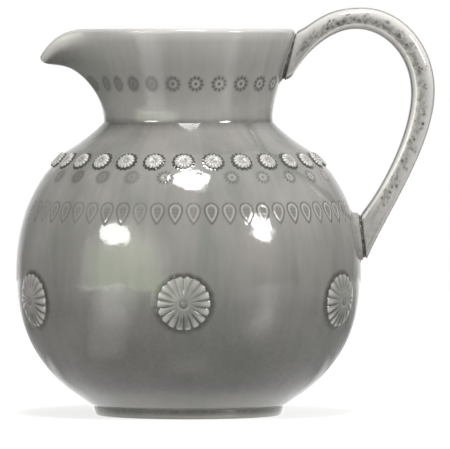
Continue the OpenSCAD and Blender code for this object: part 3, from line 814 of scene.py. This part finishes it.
daisy_r, daisy_z = 4.25, widest_z + band_up + 5.6
for node in sorted(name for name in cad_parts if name.startswith("shoulder_daisy_")):
    piece = "glazed_" + node
    mesh = flower_mesh(
        piece, node_azimuth(node), daisy_z, daisy_r, petals=14, tip=0.2, relief=daisy_relief,
        columns=10, rows=18, skirt=1.42, dark=(0, 0.36), lobes=0.8, drained=0)
    place_piece(piece, mesh, relief_glaze, "relief_glaze", node)

# CAMERA. A long lens level with the rim and far off, which looks down a little at the middle of the jug
# and its handle.
aim_x, aim_z = 0.0168, 0.0876
camera_away, camera_z = 3.4, 0.177
camera = bpy.data.objects.new("camera", bpy.data.cameras.new("camera"))
bpy.context.scene.collection.objects.link(camera)
camera.location = (aim_x, -camera_away, camera_z)
look = np.array([aim_x, 0, aim_z]) - camera.location
camera.rotation_euler = (np.arctan2(look[1], -look[2]), 0, 0)
camera.data.lens = 591
bpy.context.scene.camera = camera

# FLOOR, SURROUND AND LAMPS. A pale sweep and white surround, with two soft boxes in front, left
# and right, and a wide one overhead. What the glaze mirrors is a room with a window at the left: the
# surround's light, and a glow painted on the floor that only reflections see.
floor = bpy.data.objects.new("floor", bpy.data.meshes.new("floor"))
half, front, back = 0.8, -0.6, 1.6
corners = [(-half, front, 0), (half, front, 0), (half, back, 0), (-half, back, 0)]
floor.data.from_pydata(corners, [], [(0, 1, 2, 3)])
bpy.context.scene.collection.objects.link(floor)
SMOOTH = {"interpolation_type": "SMOOTHSTEP"}


def studio_depth(tree, bearing):
    """How bright the surround is in the glaze, in the world's light and in the glow painted on the floor:
    white behind the jug, where the sweep is, dark at the sides, where black cards stand, and dim in front."""
    behind = add(tree, "ShaderNodeSeparateXYZ", {}, {"Vector": bearing}).outputs["Y"]
    room = add(tree, "ShaderNodeMapRange", SMOOTH, {
        "Value": behind, "From Min": -0.5, "From Max": 0.1, "To Min": 0.3, "To Max": 0.2}).outputs["Result"]
    sweep = add(tree, "ShaderNodeMapRange", SMOOTH, {
        "Value": behind, "From Min": 0.74, "From Max": 1.0, "To Max": 0.95}).outputs["Result"]
    return add(tree, "ShaderNodeMath", {"operation": "MAXIMUM"}, {0: room, 1: sweep}).outputs[0]


def toward(tree, bearing, direction, start, stop, strength):
    """A soft patch of light round a direction: it comes up as the cosine of the angle from it goes from
    start to stop."""
    cosine = add(tree, "ShaderNodeVectorMath", {"operation": "DOT_PRODUCT"}, {
        0: bearing, 1: direction}).outputs["Value"]
    return add(tree, "ShaderNodeMapRange", SMOOTH, {
        "Value": cosine, "From Min": start, "From Max": stop, "To Max": strength}).outputs["Result"]


WINDOW, WINDOW_EDGE = 2.9, (0.76, 0.97)
window_side = (-0.7, -0.71)
paper = bpy.data.materials.new("white_paper")
paper.use_nodes = True
tree = paper.node_tree
tree.nodes.clear()
path = add(tree, "ShaderNodeLightPath", {}, {})
seen, glossy = path.outputs["Is Camera Ray"], path.outputs["Is Glossy Ray"]
place = add(tree, "ShaderNodeTexCoord", {}, {}).outputs["Object"]
away = add(tree, "ShaderNodeVectorMath", {"operation": "LENGTH"}, {0: place}).outputs["Value"]
# For glossy rays the paper glows as a painted room, bright round the foot and behind and dimmer further out,
# with a painted patch of window light at the left. These show only as painted reflections in the glaze.
fill = add(tree, "ShaderNodeMapRange", SMOOTH, {
    "Value": away, "From Min": 0.1, "From Max": 0.6, "To Min": 0.7, "To Max": 1.0}).outputs["Result"]
bearing = add(tree, "ShaderNodeVectorMath", {"operation": "NORMALIZE"}, {0: place}).outputs["Vector"]
behind = add(tree, "ShaderNodeSeparateXYZ", {}, {"Vector": bearing}).outputs["Y"]
table_side = add(tree, "ShaderNodeMapRange", SMOOTH, {
    "Value": behind, "From Min": -0.35, "From Max": 0.25, "To Min": 0.85, "To Max": 0.44}).outputs["Result"]
table_back = add(tree, "ShaderNodeMapRange", SMOOTH, {
    "Value": behind, "From Min": 0.52, "From Max": 0.9}).outputs["Result"]
beside = add(tree, "ShaderNodeMapRange", SMOOTH, {
    "Value": behind, "From Min": 0.02, "From Max": 0.42, "To Max": 1.0}).outputs["Result"]
table_near = add(tree, "ShaderNodeMapRange", SMOOTH, {
    "Value": away, "From Min": 0.095, "From Max": 0.13, "To Min": beside, "To Max": 0.0}).outputs["Result"]
table_far = add(tree, "ShaderNodeMath", {"operation": "MAXIMUM"}, {0: table_side, 1: table_back}).outputs[0]
table_top = add(tree, "ShaderNodeMath", {"operation": "MAXIMUM"}, {0: table_far, 1: table_near}).outputs[0]
by_foot = add(tree, "ShaderNodeMapRange", SMOOTH, {
    "Value": away, "From Min": 0.05, "From Max": 0.088,
    "To Min": 1.15, "To Max": table_top}).outputs["Result"]
# A painted patch of window light on the table, seen only in reflections
window_patch_glow = toward(tree, bearing, (*window_side, 0), 0.93, 0.995, 1.5)
beyond = add(tree, "ShaderNodeMapRange", SMOOTH, {
    "Value": away, "From Min": 0.06, "From Max": 0.1, "To Max": window_patch_glow}).outputs["Result"]
distance = add(tree, "ShaderNodeMapRange", SMOOTH, {
    "Value": away, "From Min": 0.11, "From Max": 0.25}).outputs["Result"]
shaded = add(tree, "ShaderNodeMapRange", SMOOTH, {
    "Value": behind, "From Min": -0.3, "From Max": 0.7, "To Min": 1.2, "To Max": 0.7}).outputs["Result"]
farther = add(tree, "ShaderNodeMapRange", SMOOTH, {
    "Value": away, "From Min": 0.35, "From Max": 0.8, "To Min": shaded}).outputs["Result"]
far_room = add(tree, "ShaderNodeMath", {"operation": "MULTIPLY"}, {
    0: farther, 1: studio_depth(tree, bearing)}).outputs[0]
by_window = toward(tree, bearing, (*window_side, 0), *WINDOW_EDGE, WINDOW)
windowed = add(tree, "ShaderNodeMapRange", SMOOTH, {
    "Value": away, "From Min": 0.4, "From Max": 0.75, "To Max": by_window}).outputs["Result"]
far_table = add(tree, "ShaderNodeMath", {"operation": "MAXIMUM"}, {0: far_room, 1: windowed}).outputs[0]
table = add(tree, "ShaderNodeMix", {}, {0: distance, 2: by_foot, 3: far_table}).outputs[0]
mirrored = add(tree, "ShaderNodeMath", {"operation": "MAXIMUM"}, {0: table, 1: beyond}).outputs[0]
dim = add(tree, "ShaderNodeMath", {"operation": "MULTIPLY"}, {0: glossy, 1: mirrored}).outputs[0]
glow = add(tree, "ShaderNodeMix", {}, {0: seen, 2: dim, 3: fill}).outputs[0]
emission = add(tree, "ShaderNodeEmission", {}, {"Strength": glow}).outputs["Emission"]
diffuse = add(tree, "ShaderNodeBsdfDiffuse", {}, {"Color": linear("#b4b4b2")}).outputs["BSDF"]
matt = add(tree, "ShaderNodeMixShader", {}, {0: glossy, 1: diffuse}).outputs["Shader"]
sheen = add(tree, "ShaderNodeBsdfGlossy", {}, {"Color": linear("#ffffff"), "Roughness": 0.3}).outputs["BSDF"]
grazing = add(tree, "ShaderNodeFresnel", {}, {"IOR": 1.55}).outputs["Fac"]
shine = add(tree, "ShaderNodeMath", {"operation": "MULTIPLY"}, {0: grazing, 1: glossy}).outputs[0]
sheet = add(tree, "ShaderNodeMixShader", {}, {0: shine, 1: matt, 2: sheen}).outputs["Shader"]
both = add(tree, "ShaderNodeAddShader", {}, {0: emission, 1: sheet}).outputs["Shader"]
add(tree, "ShaderNodeOutputMaterial", {}, {"Surface": both})
floor.data.materials.append(paper)

world = bpy.data.worlds.new("white_surround")
world.use_nodes = True
tree = world.node_tree
tree.nodes.clear()
path = add(tree, "ShaderNodeLightPath", {}, {})
seen, glossy = path.outputs["Is Camera Ray"], path.outputs["Is Glossy Ray"]
sight = add(tree, "ShaderNodeTexCoord", {}, {}).outputs["Generated"]
window = toward(tree, sight, (*window_side, -0.06), *WINDOW_EDGE, 1.0)
daylight = add(tree, "ShaderNodeMath", {"operation": "MULTIPLY"}, {0: window, 1: WINDOW}).outputs[0]
ceiling = toward(tree, sight, (0.45, 0.35, 0.82), 0.55, 0.95, 0.9)
lit = add(tree, "ShaderNodeMath", {"operation": "MAXIMUM"}, {0: daylight, 1: ceiling}).outputs[0]
mirrored = add(tree, "ShaderNodeMath", {"operation": "MAXIMUM"}, {
    0: lit, 1: studio_depth(tree, sight)}).outputs[0]
unseen = add(tree, "ShaderNodeMix", {}, {0: glossy, 2: 0.45, 3: mirrored}).outputs[0]
strength = add(tree, "ShaderNodeMix", {}, {0: seen, 2: unseen, 3: 1.0}).outputs[0]
through_leaves = add(tree, "ShaderNodeMath", {"operation": "MULTIPLY"}, {0: window, 1: glossy}).outputs[0]
tint = add(tree, "ShaderNodeMix", {"data_type": "RGBA"}, {
    0: through_leaves, 6: linear("#ffffff"), 7: linear("#ecffd8")}).outputs[2]
background = add(tree, "ShaderNodeBackground", {}, {
    "Color": tint, "Strength": strength}).outputs["Background"]
add(tree, "ShaderNodeOutputWorld", {}, {"Surface": background})
bpy.context.scene.world = world

jug_middle, lamp_away = np.array([0, 0, 0.09]), 1.5
for name, bearing, size, watts in (
        ("left_softbox", (-0.75, -0.585, 0.35), (0.56, 0.34), 5.7),
        ("right_softbox", (0.772, -0.572, 0.435), (0.37, 0.46), 10.4),
        ("overhead_softbox", (0.03, -0.38, 0.92), (0.56, 0.66), 20.5)):
    lamp = bpy.data.lights.new(name, "AREA")
    lamp.shape, lamp.size, lamp.size_y, lamp.energy = "ELLIPSE", *size, watts
    box = bpy.data.objects.new(name, lamp)
    bearing = np.array(bearing) / np.linalg.norm(bearing)
    box.location = jug_middle + lamp_away * bearing
    box.rotation_euler = (np.arccos(bearing[2]), 0, np.arctan2(bearing[1], bearing[0]) + np.pi / 2)
    bpy.context.scene.collection.objects.link(box)
